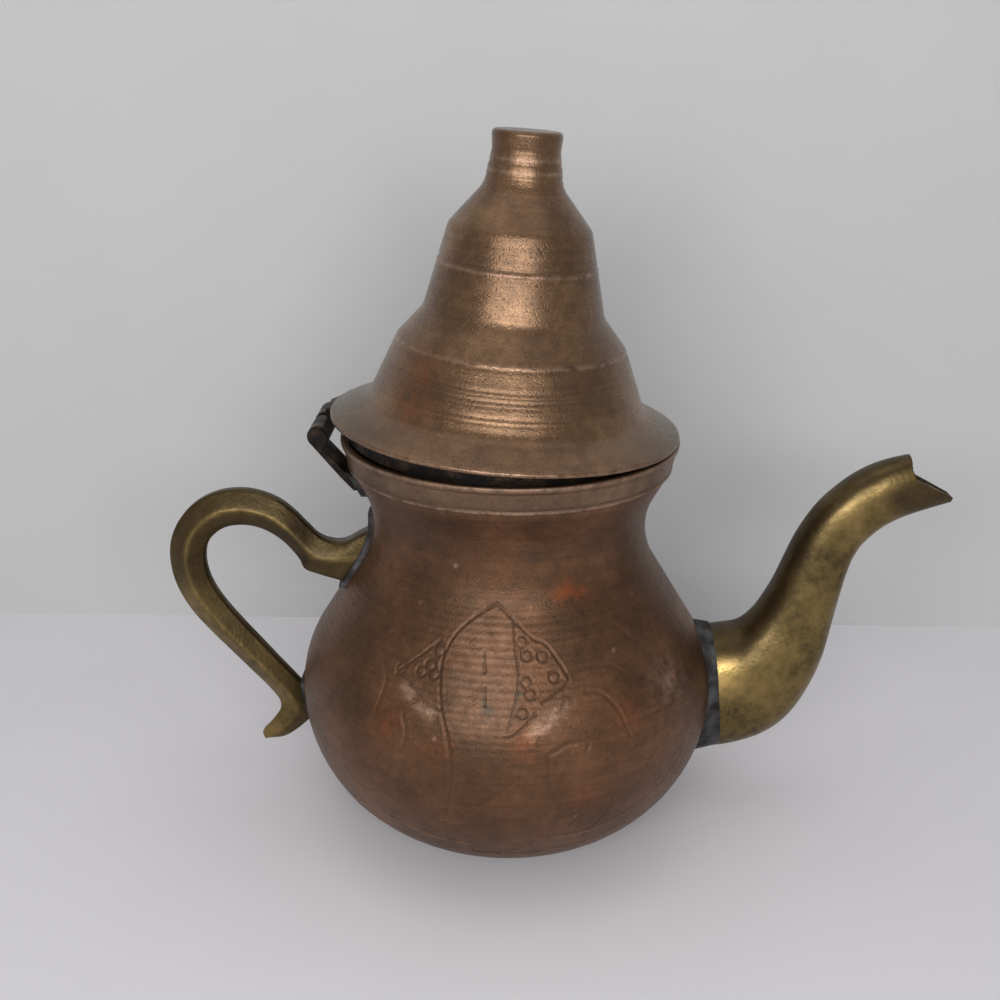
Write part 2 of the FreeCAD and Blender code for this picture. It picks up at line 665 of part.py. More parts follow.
os.makedirs("parts", exist_ok=True)
for label, item in nodes.items():
    item.Shape.exportStep(f"parts/{label}.step")
    box = item.Shape.BoundBox
    print(f"{label}: {len(item.Shape.Solids)} solid, {item.Shape.Volume:.1f} mm3, "
          f"x {box.XMin:.1f}..{box.XMax:.1f} y {box.YMin:.1f}..{box.YMax:.1f} "
          f"z {box.ZMin:.1f}..{box.ZMax:.1f}")
print(f"lid tilt {lid_tilt:.2f} degrees")
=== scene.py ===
import math

import bpy
import numpy as np
from mathutils import Matrix, Vector


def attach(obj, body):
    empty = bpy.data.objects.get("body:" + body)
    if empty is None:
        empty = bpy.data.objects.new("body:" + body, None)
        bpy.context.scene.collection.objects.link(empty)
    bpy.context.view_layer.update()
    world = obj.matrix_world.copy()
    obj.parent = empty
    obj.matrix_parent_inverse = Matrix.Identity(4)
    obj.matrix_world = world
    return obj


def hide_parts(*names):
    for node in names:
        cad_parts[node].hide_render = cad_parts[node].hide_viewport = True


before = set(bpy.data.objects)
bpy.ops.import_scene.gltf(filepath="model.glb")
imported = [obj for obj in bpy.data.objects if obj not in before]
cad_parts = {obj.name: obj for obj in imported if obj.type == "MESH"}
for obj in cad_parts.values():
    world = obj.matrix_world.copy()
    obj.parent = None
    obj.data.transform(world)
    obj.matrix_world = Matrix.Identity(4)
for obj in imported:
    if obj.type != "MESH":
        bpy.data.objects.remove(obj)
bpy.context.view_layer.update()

# Vessel
# One sheet of copper, spun over a former to a belly, a waisted neck and a flared mouth,
# then chased by hand with a leaf panel. The inside is tinned. Fine lines from the
# spinning tool run round it, under a brown patina.
MM = 0.001
VESSEL_WALL = 1.0
# Corners of the outside as (radius from the axis, height, rounding), all in mm.
VESSEL_CORNERS = [
    (33.8, 0.0, 0.0), (33.8, 0.75, 0.0), (59.2, 12.9, 43.0), (59.2, 49.3, 32.0),
    (38.15, 83.2, 23.8), (38.15, 95.3, 20.0), (43.5, 105.4, 0.8), (45.4, 114.0, 0.0)]


def linear(code, alpha=1.0):
    """Linear colour of an sRGB hex code."""
    parts = np.array([int(code[i:i + 2], 16) for i in (0, 2, 4)]) / 255
    light = np.where(parts <= 0.04045, parts / 12.92, ((parts + 0.055) / 1.055) ** 2.4)
    return (*light.tolist(), alpha)


def rounded(corners, spacing=0.05):
    """Line through corners (r, z, radius): straight runs, with an arc of that radius at each
    corner that touches both runs, drawn with weights sin(share of the sweep) / sin(sweep) on its
    two ends. Returns points about a spacing apart."""
    points = np.array([corner[:2] for corner in corners])
    pieces = [points[:1]]
    for before, here, after, (_, _, radius) in zip(points, points[1:], points[2:], corners[1:]):
        if radius == 0:
            pieces.append(here[None])
            continue
        back = (before - here) / np.linalg.norm(before - here)
        ahead = (after - here) / np.linalg.norm(after - here)
        half = math.acos(np.clip(back @ ahead, -1, 1)) / 2
        reach = radius / math.tan(half)
        middle = (back + ahead) / np.linalg.norm(back + ahead)
        centre = here + middle * radius / math.sin(half)
        sweep = math.pi - 2 * half
        turn = np.linspace(-1, 1, max(2, int(radius * sweep / spacing)))
        share = np.sin((1 + turn) / 2 * sweep) / math.sin(sweep)
        other = np.sin((1 - turn) / 2 * sweep) / math.sin(sweep)
        first = here + back * reach - centre
        last = here + ahead * reach - centre
        pieces.append(centre + other[:, None] * first + share[:, None] * last)
    pieces.append(points[-1:])
    line = np.concatenate(pieces)
    return at_length(line, np.arange(0, length_of(line)[-1] + spacing / 2, spacing))


def length_of(line):
    """Distance along a line to each of its points."""
    steps = np.linalg.norm(np.diff(line, axis=0), axis=1)
    return np.concatenate([[0], np.cumsum(steps)])


def at_length(line, lengths):
    """Points at these distances along a line."""
    along = length_of(line)
    return np.stack([np.interp(lengths, along, line[:, axis]) for axis in range(line.shape[1])], -1)


def inset(corners, wall):
    """The same corners moved to the left of the line by a wall's thickness: each along the sum of its
    two runs' normals, over one more than their product. Radii grow or shrink by the wall to match."""
    points = np.array([corner[:2] for corner in corners])
    runs = np.diff(points, axis=0)
    runs /= np.linalg.norm(runs, axis=1)[:, None]
    inward = np.stack([-runs[:, 1], runs[:, 0]], -1)
    before = np.concatenate([inward[:1], inward])
    after = np.concatenate([inward, inward[-1:]])
    moved = points + wall * (before + after) / (1 + (before * after).sum(1))[:, None]
    turn = before[:, 0] * after[:, 1] - before[:, 1] * after[:, 0]
    radii = np.array([corner[2] for corner in corners])
    radii = np.where(radii > 0, np.maximum(radii - np.sign(turn) * wall, 0.2), 0)
    return [(*point, radius) for point, radius in zip(moved.tolist(), radii.tolist())]


def surface(name, points, closed_rows=True, caps=False):
    """Closed mesh on a grid of points (rows, columns, 3) in millimetres: columns go round and join
    up, rows join up too or end in flat caps, and faces look outwards because the volume is positive."""
    rows, columns = points.shape[:2]
    index = np.arange(rows * columns).reshape(rows, columns)
    here = index if closed_rows else index[:-1]
    above = np.roll(index, -1, 0) if closed_rows else index[1:]
    quads = np.stack([here, np.roll(here, -1, 1), np.roll(above, -1, 1), above], -1).reshape(-1, 4)
    flat = points.reshape(-1, 3)
    a, b, c, d = (flat[quads[:, corner]] for corner in range(4))
    volume = (np.cross(a, b) * c).sum() + (np.cross(a, c) * d).sum()
    faces = quads.tolist() + ([index[0, ::-1].tolist(), index[-1].tolist()] if caps else [])
    if volume < 0:
        faces = [face[::-1] for face in faces]
    mesh = bpy.data.meshes.new(name)
    mesh.from_pydata((flat * MM).tolist(), [], faces)
    mesh.polygons.foreach_set("use_smooth", np.ones(len(faces), bool))
    mesh.update()
    piece = bpy.data.objects.new(name, mesh)
    bpy.context.scene.collection.objects.link(piece)
    return piece


def turned(line, angles):
    """Points of a line (r, z) turned about the axis: x = r sin a, y = -r cos a."""
    radius, height = line[:, :1], line[:, 1:]
    return np.stack([radius * np.sin(angles), -radius * np.cos(angles), height + 0 * angles], -1)


def outward(line):
    """Unit normals (r, z) of a line that runs up its piece: the slope turned a right angle outwards."""
    slope = np.gradient(line, axis=0)
    slope /= np.linalg.norm(slope, axis=1)[:, None]
    return np.stack([slope[:, 1], -slope[:, 0]], -1)


def along(stations, share):
    """Smooth curve through stations (rows of numbers), at shares 0 to 1 of their count: on each span
    the cubic that passes through its two ends with slopes of half the difference of their neighbours."""
    before_first = 2 * stations[:1] - stations[1:2]
    after_last = 2 * stations[-1:] - stations[-2:-1]
    padded = np.concatenate([before_first, stations, after_last])
    place = np.clip(share, 0, 1) * (len(stations) - 1)
    span = np.minimum(place.astype(int), len(stations) - 2)
    t = (place - span)[..., None]
    p0, p1, p2, p3 = (padded[span + step] for step in range(4))
    return 0.5 * (2 * p1 + (p2 - p0) * t + (2 * p0 - 5 * p1 + 4 * p2 - p3) * t ** 2
                  + (3 * p1 - p0 - 3 * p2 + p3) * t ** 3)


# The chased panel: lines and beads as (degrees round from the front, height in mm). The leaf's own
# lines are cut deep, the stems and petals round it are only pressed in, and a border stands up.
DEEP_LINES = [
    [(-3.9, 81.1), (-10.5, 78.3), (-16.4, 74.5), (-19.1, 70.7), (-20.1, 66.3), (-18.3, 59.0),
     (-15.3, 52.4)],
    [(-3.9, 81.1), (2.2, 77.5), (8.1, 73.5), (12.8, 71.6), (17.6, 65.4), (17.4, 63.1), (9.7, 59.7)],
    [(2.2, 77.3), (2.8, 71.0), (3.6, 66.2), (2.9, 61.4), (0.7, 54.4)],
    [(7.9, 57.7), (5.4, 55.4), (1.8, 52.6), (-0.5, 52.2)],
    [(-7.3, 70.6), (-6.6, 66.0)],
    [(-6.3, 63.0), (-5.8, 59.1)],
    [(-21.9, 71.7), (-27.4, 67.6), (-33.8, 62.4), (-30.3, 62.0), (-23.5, 58.6), (-18.2, 57.0)],
]
PRESSED_LINES = [
    [(18.6, 64.9), (25.2, 65.9), (31.6, 65.2), (36.0, 63.0)],
    [(22.6, 60.9), (27.4, 59.6), (31.1, 55.2), (33.0, 48.7)],
    [(38.3, 73.3), (41.5, 70.6), (44.0, 68.6)],
    [(52.3, 65.2), (51.4, 61.4), (53.0, 56.8)],
    [(44.5, 59.5), (47.0, 56.1), (51.8, 51.0)],
    [(10.1, 47.5), (15.6, 49.9), (20.9, 49.6), (20.4, 47.6)],
    [(10.6, 46.7), (10.9, 41.0), (12.1, 34.7), (9.8, 30.1), (8.8, 26.6), (10.0, 22.2)],
    [(18.9, 36.0), (25.7, 35.6), (28.0, 30.5), (25.8, 24.9), (22.2, 21.6), (12.7, 20.8)],
    [(-9.6, 19.2), (-8.7, 13.8), (-2.9, 13.4), (4.2, 16.2), (7.8, 20.2)],
    [(-15.3, 52.4), (-13.8, 46.0), (-13.6, 38.0), (-14.8, 30.0)],
    [(2.9, 41.9), (-1.0, 37.9), (-5.7, 34.2), (-9.5, 30.5), (-16.1, 25.6)],
    [(-28.2, 54.4), (-26.4, 51.0), (-26.6, 47.0), (-28.1, 44.8)],
    [(-42.2, 66.2), (-37.5, 62.3), (-36.2, 58.2), (-36.6, 52.0)],
    [(-43.8, 31.8), (-40.2, 29.0), (-34.7, 31.6), (-31.0, 36.0)],
]
BORDER_LINES = [
    [(-56.0, 25.0), (-50.8, 20.8), (-40.5, 20.9), (-28.9, 20.1), (-20.9, 18.2), (-9.6, 17.5)],
    [(55.8, 42.2), (55.1, 36.5), (49.6, 31.4), (44.0, 27.2), (34.9, 24.0), (24.5, 20.9), (13.3, 20.5)],
    [(-52.0, 16.5), (-38.0, 15.0), (-24.0, 13.6), (-10.0, 12.6), (6.0, 12.6), (22.0, 14.5), (38.0, 18.0)],
]
CHASED_BEADS = [
    (4.8, 72.9), (6.2, 69.9), (5.8, 64.3), (6.8, 61.7), (4.4, 57.8), (11.2, 69.5), (14.1, 64.9),
    (-21.8, 69.5), (-23.6, 66.0), (-25.9, 64.3), (-22.0, 64.3), (-32.7, 63.7)]
CHASED_WIDTH = 0.32
CHASED_DEPTH = 0.24
PRESSED_WIDTH = 0.52
PRESSED_DEPTH = 0.19
BURR_PLACE = 1.9
BURR_HEIGHT = 0.28
BEAD_RADIUS = 1.35
POINTS_PER_CORNER = 6
PANEL_HALF = 57.0
SPUN_DEPTH = 0.03
SPUN_PITCH = 1.75
SPUN_HEIGHT = 66.0
SPUN_REACH = 20.0
# The mesh is finest where the leaf is: heights where the panel and the leaf begin and the panel ends,
# steps between rows in mm, and steps between columns in degrees.
PANEL_HEIGHTS = (11.0, 50.0, 83.0)
FOOT_STEP = 1.3
PANEL_STEP = 0.56
LEAF_STEP = 0.39
NECK_STEP = 1.1
INNER_ROWS = 40
LEAF_HALF = 37.0
LEAF_TURN = 0.42
PANEL_TURN = 0.9
SIDE_TURN = 3.3
BACK_TURN = 1.2
# Marks on the front, as soft spots (degrees round, height, size in mm, strength): green salts in the
# grooves, orange where the oxide is new, and pale: one wide patch on the right and painted glints on tiny
# dents.
GREEN_SPOTS = [
    (-4.9, 58.1, 1.4, 1.0), (3.7, 61.8, 1.1, 1.0), (-6.2, 60.0, 0.8, 0.6), (9.7, 93.4, 2.2, 0.55),
    (5.5, 94.4, 1.4, 0.35)]
ORANGE_SPOTS = [
    (23.7, 83.0, 2.8, 1.0), (20.0, 82.3, 2.0, 0.8), (28.0, 82.2, 2.4, 0.7), (5.6, 50.4, 3.5, 0.6),
    (-32.4, 51.4, 4.0, 0.5), (-17.5, 48.5, 4.0, 0.4), (20.5, 34.8, 4.0, 0.4), (33.4, 54.0, 4.0, 0.5)]
PALE_PATCH_AND_GLINTS = [
    (52.0, 57.0, 6.0, 0.8), (-33.3, 78.6, 0.45, 2.0), (-40.2, 70.7, 0.45, 2.0), (18.5, 28.4, 0.45, 2.0),
    (35.2, 68.0, 0.45, 2.0), (-20.4, 89.6, 0.45, 2.0), (-18.3, 50.6, 0.45, 2.0)]
# Painted highlights on the metal beside the leaf's lower wings, as lines (degrees round, height), and their
# width in mm.
WING_HIGHLIGHTS = [
    [(-29.5, 60.0), (-25.0, 58.0), (-20.5, 56.0)], [(17.0, 59.6), (12.5, 56.8), (7.0, 53.0)]]
WING_HIGHLIGHT_WIDTH = 1.7
LEAF_MIDDLE = (-7.0, 66.0)
LEAF_SIZE = (11.5, 14.0)
# Painted shade: the colour darkens below this height, over this fade in mm, towards the foot where the
# belly hangs over the floor.
FOOT_SHADE_TOP = 9.0
FOOT_SHADE_FADE = 6.0


def flat_place(line, angles):
    """Where each point of the turned line lies in the panel, flat on the metal: degrees from the
    nearer panel's middle, radius, and distance along the line, with a rule from height to distance."""
    lengths = length_of(line)
    across = np.degrees((angles + math.pi / 2) % math.pi - math.pi / 2)
    upward = np.argsort(line[:, 1])

    def level(height):
        return np.interp(height, line[upward, 1], lengths[upward])

    return across, line[:, :1], lengths[:, None], level


def distance_to(place, curves):
    """Least distance from each point to any of the smooth curves through these corners."""
    across, radius, lengths, level = place
    near = np.full(np.broadcast_shapes(across.shape, lengths.shape), np.inf)
    for corners in curves:
        curve = along(np.array(corners), np.linspace(0, 1, POINTS_PER_CORNER * len(corners)))
        for (angle_a, height_a), (angle_b, height_b) in zip(curve, curve[1:]):
            run_x = np.radians(angle_b - angle_a) * radius
            run_y = level(height_b) - level(height_a)
            x = np.radians(across - angle_a) * radius
            y = lengths - level(height_a)
            share = np.clip((x * run_x + y * run_y) / (run_x ** 2 + run_y ** 2 + 1e-9), 0, 1)
            near = np.minimum(near, np.hypot(x - share * run_x, y - share * run_y))
    return near


def distance_from(place, angle, height):
    """Distance from each point to one point of the panel."""
    across, radius, lengths, level = place
    return np.hypot(np.radians(across - angle) * radius, lengths - level(height))


def groove(distance, width):
    """Soft groove exp(-(d / width)^2), with a low burr along both sides."""
    burr = np.exp(-((distance - BURR_PLACE * width) / width) ** 2)
    return np.exp(-(distance / width) ** 2) - BURR_HEIGHT * burr


def band(heights, middle, reach):
    """Level band round a piece with soft edges: exp(-((height - middle) / reach)^4)."""
    return np.exp(-((heights - middle) / reach) ** 4)


def add(tree, kind, inputs=None, stops=(), **settings):
    """Add one node: settings are its properties, stops its colours (place, hex) along a ramp, and
    inputs its sockets' values or the sockets to link."""
    node = tree.nodes.new(kind)
    for name, setting in settings.items():
        setattr(node, name, setting)
    for i, (place, code) in enumerate(stops):
        elements = node.color_ramp.elements
        element = elements[i] if i < len(elements) else elements.new(place)
        element.position = place
        element.color = linear(code)
    for name, given in (inputs or {}).items():
        if isinstance(given, bpy.types.NodeSocket):
            tree.links.new(given, node.inputs[name])
        else:
            node.inputs[name].default_value = given
    return node


def material(name):
    """Empty node material, and the tree that its finish is built in."""
    made = bpy.data.materials.new(name)
    made.use_nodes = True
    made.node_tree.nodes.clear()
    return made, made.node_tree


def spun_copper(name, tilt, tones, dull, gleam):
    """Aged spun copper: brown oxide in soft blotches, hair-fine rings from the spinning tool that
    catch the light as a grainy streak, small pits, and dark grooves where it was chased. Marks also
    paint highlights and shade into the colour. A thin clear skin of oxide gives the pale gleam."""
    made, tree = material(name)
    place = add(tree, "ShaderNodeTexCoord").outputs["Object"]
    if tilt:
        place = add(tree, "ShaderNodeMapping", {"Vector": place, "Rotation": (0, -tilt, 0)}).outputs[0]
    # Real tool lines are too fine to show, so the rings are drawn about a millimetre apart.
    ring_place = add(tree, "ShaderNodeMapping", {"Vector": place, "Scale": (14, 14, 1 / (1.1 * MM))})
    rings = add(tree, "ShaderNodeTexNoise", {"Vector": ring_place.outputs[0], "Scale": 1.0, "Detail": 3.0})
    blotches = add(tree, "ShaderNodeTexNoise", {"Vector": place, "Scale": 1 / (22 * MM), "Detail": 5.0,
                                                "Roughness": 0.6})
    specks = add(tree, "ShaderNodeTexNoise", {"Vector": place, "Scale": 1 / (3.2 * MM), "Detail": 4.0,
                                              "Roughness": 0.7})
    pits = add(tree, "ShaderNodeTexNoise", {"Vector": place, "Scale": 1 / (0.62 * MM), "Detail": 2.0})
    tone = add(tree, "ShaderNodeMath", {0: blotches.outputs[0], 1: 0.55}, operation="MULTIPLY")
    tone = add(tree, "ShaderNodeMath", {0: specks.outputs[0], 1: 0.31, 2: tone.outputs[0]},
               operation="MULTIPLY_ADD")
    tone = add(tree, "ShaderNodeMath", {0: rings.outputs[0], 1: 0.14, 2: tone.outputs[0]},
               operation="MULTIPLY_ADD")
    base = add(tree, "ShaderNodeValToRGB", {0: tone.outputs[0]}, zip((0.36, 0.5, 0.64), tones)).outputs[0]
    patchy = add(tree, "ShaderNodeMapRange", {0: specks.outputs[0], 1: 0.36, 2: 0.58})
    holes = add(tree, "ShaderNodeMapRange", {0: pits.outputs[0], 1: 0.36, 2: 0.3, 3: 0.0, 4: 0.4})
    base = add(tree, "ShaderNodeMix", {0: holes.outputs[0], 6: base, 7: linear("2a1c12")},
               data_type="RGBA").outputs[2]
    # Marks mixed into the colour, in order: pale for rubbed metal and painted highlights, orange for new
    # oxide, olive tint with painted shade, green salts, and dark for patina in grooves with painted shade.
    for wear, strength, code in (
            ("highlight_and_wear", 0.66, "ab8a74"), ("orange", 0.75, "8a4622"), ("olive_and_shade", 0.85, "4c4331"),
            ("verdigris", 0.9, "303a31"), ("grooves_and_shade", 0.7, "23170f")):
        worn = add(tree, "ShaderNodeAttribute", attribute_name=wear).outputs["Fac"]
        amount = add(tree, "ShaderNodeMath", {0: worn, 1: patchy.outputs[0]}, operation="MULTIPLY")
        amount = add(tree, "ShaderNodeMath", {0: amount.outputs[0], 1: strength}, operation="MULTIPLY")
        base = add(tree, "ShaderNodeMix", {0: amount.outputs[0], 6: base, 7: linear(code)},
                   data_type="RGBA").outputs[2]
    rough = add(tree, "ShaderNodeMapRange", {0: pits.outputs[0], 1: 0.35, 2: 0.65, 3: dull - 0.1,
                                             4: dull + 0.12})
    dents = add(tree, "ShaderNodeMapRange", {0: pits.outputs[0], 1: 0.3, 2: 0.46, 3: 0.0, 4: 1.0})
    low = add(tree, "ShaderNodeBump", {"Height": rings.outputs[0], "Distance": 0.035 * MM, "Strength": 0.9})
    fine = add(tree, "ShaderNodeBump", {"Height": dents.outputs[0], "Distance": 0.05 * MM, "Strength": 0.8,
                                        "Normal": low.outputs[0]})
    shader = add(tree, "ShaderNodeBsdfPrincipled", {
        "Base Color": base, "Metallic": 0.7, "Roughness": rough.outputs[0], "Normal": fine.outputs[0],
        "Coat Weight": gleam, "Coat Roughness": 0.34, "Coat Normal": fine.outputs[0]})
    add(tree, "ShaderNodeOutputMaterial", {"Surface": shader.outputs[0]})
    return made


def tinned_copper():
    """Worn tin over copper: dull grey, wiped on by hand, with brown showing through in patches."""
    made, tree = material("wiped_tin")
    place = add(tree, "ShaderNodeTexCoord").outputs["Object"]
    wipes = add(tree, "ShaderNodeTexNoise", {"Vector": place, "Scale": 1 / (7 * MM), "Detail": 5.0})
    grain = add(tree, "ShaderNodeTexNoise", {"Vector": place, "Scale": 1 / (1.0 * MM), "Detail": 2.0})
    base = add(tree, "ShaderNodeValToRGB", {0: wipes.outputs[0]},
               [(0.3, "4e4034"), (0.46, "655e56"), (0.7, "7b766f")]).outputs[0]
    rough = add(tree, "ShaderNodeMapRange", {0: wipes.outputs[0], 3: 0.62, 4: 0.38})
    bump = add(tree, "ShaderNodeBump", {"Height": grain.outputs[0], "Distance": 0.05 * MM})
    shader = add(tree, "ShaderNodeBsdfPrincipled", {
        "Base Color": base, "Metallic": 0.8, "Roughness": rough.outputs[0], "Normal": bump.outputs[0]})
    add(tree, "ShaderNodeOutputMaterial", {"Surface": shader.outputs[0]})
    return made


VESSEL_OUTSIDE = rounded(VESSEL_CORNERS)
outside_length = length_of(VESSEL_OUTSIDE)
panel_low, leaf_low, panel_high = np.interp(PANEL_HEIGHTS, VESSEL_OUTSIDE[:, 1], outside_length)
vessel_rows = np.concatenate([
    np.arange(0, panel_low, FOOT_STEP), np.arange(panel_low, leaf_low, PANEL_STEP),
    np.arange(leaf_low, panel_high, LEAF_STEP), np.arange(panel_high, outside_length[-1], NECK_STEP),
    outside_length[-1:]])
vessel_outer = at_length(VESSEL_OUTSIDE, vessel_rows)
vessel_inside = rounded(inset(VESSEL_CORNERS, VESSEL_WALL))[::-1]
vessel_inner = at_length(vessel_inside, np.linspace(0, length_of(vessel_inside)[-1], INNER_ROWS))
vessel_angles = np.radians(np.concatenate([
    np.arange(-PANEL_HALF, -LEAF_HALF, PANEL_TURN), np.arange(-LEAF_HALF, LEAF_HALF, LEAF_TURN),
    np.arange(LEAF_HALF, PANEL_HALF, PANEL_TURN), np.arange(PANEL_HALF, 180 - PANEL_HALF, SIDE_TURN),
    np.arange(180 - PANEL_HALF, 180 + PANEL_HALF, BACK_TURN),
    np.arange(180 + PANEL_HALF, 360 - PANEL_HALF, SIDE_TURN)]))
on_panel = flat_place(vessel_outer, vessel_angles)
deep = distance_to(on_panel, DEEP_LINES)
for bead in CHASED_BEADS:
    deep = np.minimum(deep, np.abs(distance_from(on_panel, *bead) - BEAD_RADIUS))
pressed = distance_to(on_panel, PRESSED_LINES)
border = distance_to(on_panel, BORDER_LINES)
outer_heights = vessel_outer[:, 1:]
spun_wave = np.sin(2 * math.pi * outer_heights / SPUN_PITCH)
rise = SPUN_DEPTH * spun_wave * band(outer_heights, SPUN_HEIGHT, SPUN_REACH)
rise = rise - CHASED_DEPTH * groove(deep, CHASED_WIDTH)
rise -= PRESSED_DEPTH * (groove(pressed, PRESSED_WIDTH) - groove(border, PRESSED_WIDTH))
outer_points = turned(vessel_outer, vessel_angles)
outer_points += rise[..., None] * turned(outward(vessel_outer), vessel_angles)
vessel = surface("vessel", np.concatenate([outer_points, turned(vessel_inner, vessel_angles)]))
front = np.cos(vessel_angles) > 0


def mark(piece, name, shares):
    """Keep a number from 0 to 1 at each point of a piece, for its finish to read."""
    kept = piece.data.attributes.new(name, "FLOAT", "POINT")
    kept.data.foreach_set("value", np.clip(shares, 0, 1).ravel().astype(np.float32))


def spots(places):
    """Soft round spots on the front of the vessel: the sum of strength exp(-(distance / size)^2)."""
    return front * sum(
        strength * np.exp(-(distance_from(on_panel, angle, height) / size) ** 2)
        for angle, height, size, strength in places)


leaf_across = (on_panel[0] - LEAF_MIDDLE[0]) / LEAF_SIZE[0]
leaf_up = (outer_heights - LEAF_MIDDLE[1]) / LEAF_SIZE[1]
leaf_face = front * np.clip(1 - leaf_across ** 4 - leaf_up ** 4, 0, 1)
# Painted sheen: pale and dark stripes on the leaf, in step with the spun ridges, as if they caught the
# light.
ridge_sheen = 0.5 + 0.5 * spun_wave
# Dark marks: patina in the chased and pressed grooves, painted shade darkening towards the foot, and
# painted shade between the spun ridges on the leaf.
grooves_and_shade = 0.85 * np.exp(-(deep / CHASED_WIDTH / 0.8) ** 2) + 0.36 * np.exp(-(pressed / CHASED_WIDTH) ** 2)
grooves_and_shade += 0.8 * np.clip((FOOT_SHADE_TOP - outer_heights) / FOOT_SHADE_FADE, 0, 1) + 0.16 * leaf_face * (1 - ridge_sheen)
# Pale marks: the leaf rubbed a little paler, painted sheen in stripes on it, a painted highlight along the
# raised border, the spots, and painted highlights beside the wings.
vessel_highlight_and_wear = leaf_face * (0.1 + 0.22 * ridge_sheen) + 0.5 * np.exp(-(border / 0.5) ** 2) + spots(PALE_PATCH_AND_GLINTS)
vessel_highlight_and_wear += np.exp(-(distance_to(on_panel, WING_HIGHLIGHTS) / WING_HIGHLIGHT_WIDTH) ** 2) * (0.75 + 0.5 * ridge_sheen)
inside_vessel = np.zeros(len(vessel_inner) * len(vessel_angles))
mark(vessel, "grooves_and_shade", np.append(grooves_and_shade, inside_vessel))
mark(vessel, "verdigris", np.append(spots(GREEN_SPOTS), inside_vessel))
mark(vessel, "orange", np.append(spots(ORANGE_SPOTS), inside_vessel))
mark(vessel, "highlight_and_wear", np.append(vessel_highlight_and_wear, inside_vessel))
WIPED_TIN = tinned_copper()
vessel.data.materials.append(
    spun_copper("brown_spun_copper", 0.0, ("48321f", "60412a", "785339"), 0.46, 0.12))
vessel.data.materials.append(WIPED_TIN)
tinned_rows = np.arange(len(vessel_outer) + len(vessel_inner)) >= len(vessel_outer)
tinned_faces = np.repeat(tinned_rows, len(vessel_angles)).astype(np.int32)
vessel.data.polygons.foreach_set("material_index", tinned_faces)
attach(vessel, "pot")
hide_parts("vessel_body")

# Base
# A copper disc let into the foot and held by a seam of soft solder in the corner inside.
# It is darker than the rest, from the stove.


def dress(node, finish):
    """Give a solid of the frame a finish through its own slots."""
    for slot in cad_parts[node].material_slots:
        slot.material = finish


def soft_solder():
    """Soft solder: dull lead grey, run on by hand, so lumpy, with dark flux in its hollows."""
    made, tree = material("run_soft_solder")
    place = add(tree, "ShaderNodeTexCoord").outputs["Object"]
    lumps = add(tree, "ShaderNodeTexNoise", {"Vector": place, "Scale": 1 / (2.4 * MM), "Detail": 3.0})
    flux = add(tree, "ShaderNodeTexNoise", {"Vector": place, "Scale": 1 / (5 * MM), "Detail": 4.0})
    base = add(tree, "ShaderNodeValToRGB", {0: flux.outputs[0]},
               [(0.36, "211e1b"), (0.5, "383634"), (0.66, "545456")]).outputs[0]
    bump = add(tree, "ShaderNodeBump", {"Height": lumps.outputs[0], "Distance": 0.5 * MM})
    rough = add(tree, "ShaderNodeMapRange", {0: flux.outputs[0], 3: 0.7, 4: 0.42})
    shader = add(tree, "ShaderNodeBsdfPrincipled", {
        "Base Color": base, "Metallic": 0.6, "Roughness": rough.outputs[0], "Normal": bump.outputs[0]})
    add(tree, "ShaderNodeOutputMaterial", {"Surface": shader.outputs[0]})
    return made


SOLDER = soft_solder()
dress("base_disc", spun_copper("worn_base_copper", 0.0, ("2b1f17", "403025", "584739"), 0.6, 0.1))
dress("base_solder", SOLDER)

# Hoop
# A copper strip bent round the mouth and soldered on, with a rolled top edge and a
# fine bead along its foot.
HOOP_CORNERS = [
    (43.84, 106.6, 0.1), (44.55, 106.6, 0.3), (44.78, 107.1, 0.3), (44.62, 107.75, 0.3),
    (44.72, 108.3, 0.5), (45.72, 112.3, 0.8), (46.2, 112.9, 0.3), (46.34, 113.8, 0.35),
    (46.2, 114.3, 0.3), (45.49, 114.3, 0.1)]
# Painted highlights along the bead and the rolled top edge, a darker line in the groove over the bead, and
# the width of these lines in mm.
HOOP_GROOVE = 108.0
HOOP_EDGES = (107.0, 113.7)
HOOP_MARK_WIDTH = 0.35
HOOP_ROWS = 44
HOOP_TURN = 1.5
hoop_line = rounded(HOOP_CORNERS)
hoop_line = at_length(hoop_line, np.linspace(0, length_of(hoop_line)[-1], HOOP_ROWS))
hoop_angles = np.radians(np.arange(0, 360, HOOP_TURN))
hoop = surface("rim_hoop", turned(hoop_line, hoop_angles))
hoop_heights = hoop_line[:, 1:] + 0 * hoop_angles
mark(hoop, "grooves_and_shade", 0.9 * np.exp(-((hoop_heights - HOOP_GROOVE) / HOOP_MARK_WIDTH) ** 2))
mark(hoop, "highlight_and_wear", sum(np.exp(-((hoop_heights - edge) / HOOP_MARK_WIDTH) ** 2) for edge in HOOP_EDGES))
hoop.data.materials.append(
    spun_copper("hoop_copper", 0.0, ("503d2c", "6e543f", "8b6e55"), 0.45, 0.2))
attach(hoop, "pot")
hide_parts("rim_band")

# Spout
# A brass casting, hollow, oval across, that swells at the root, bends up like a goose's
# neck and ends in a notched beak. It is soldered over holes in the belly.
SPOUT_WALL = 1.6
SPOUT_SQUARE = 2.4
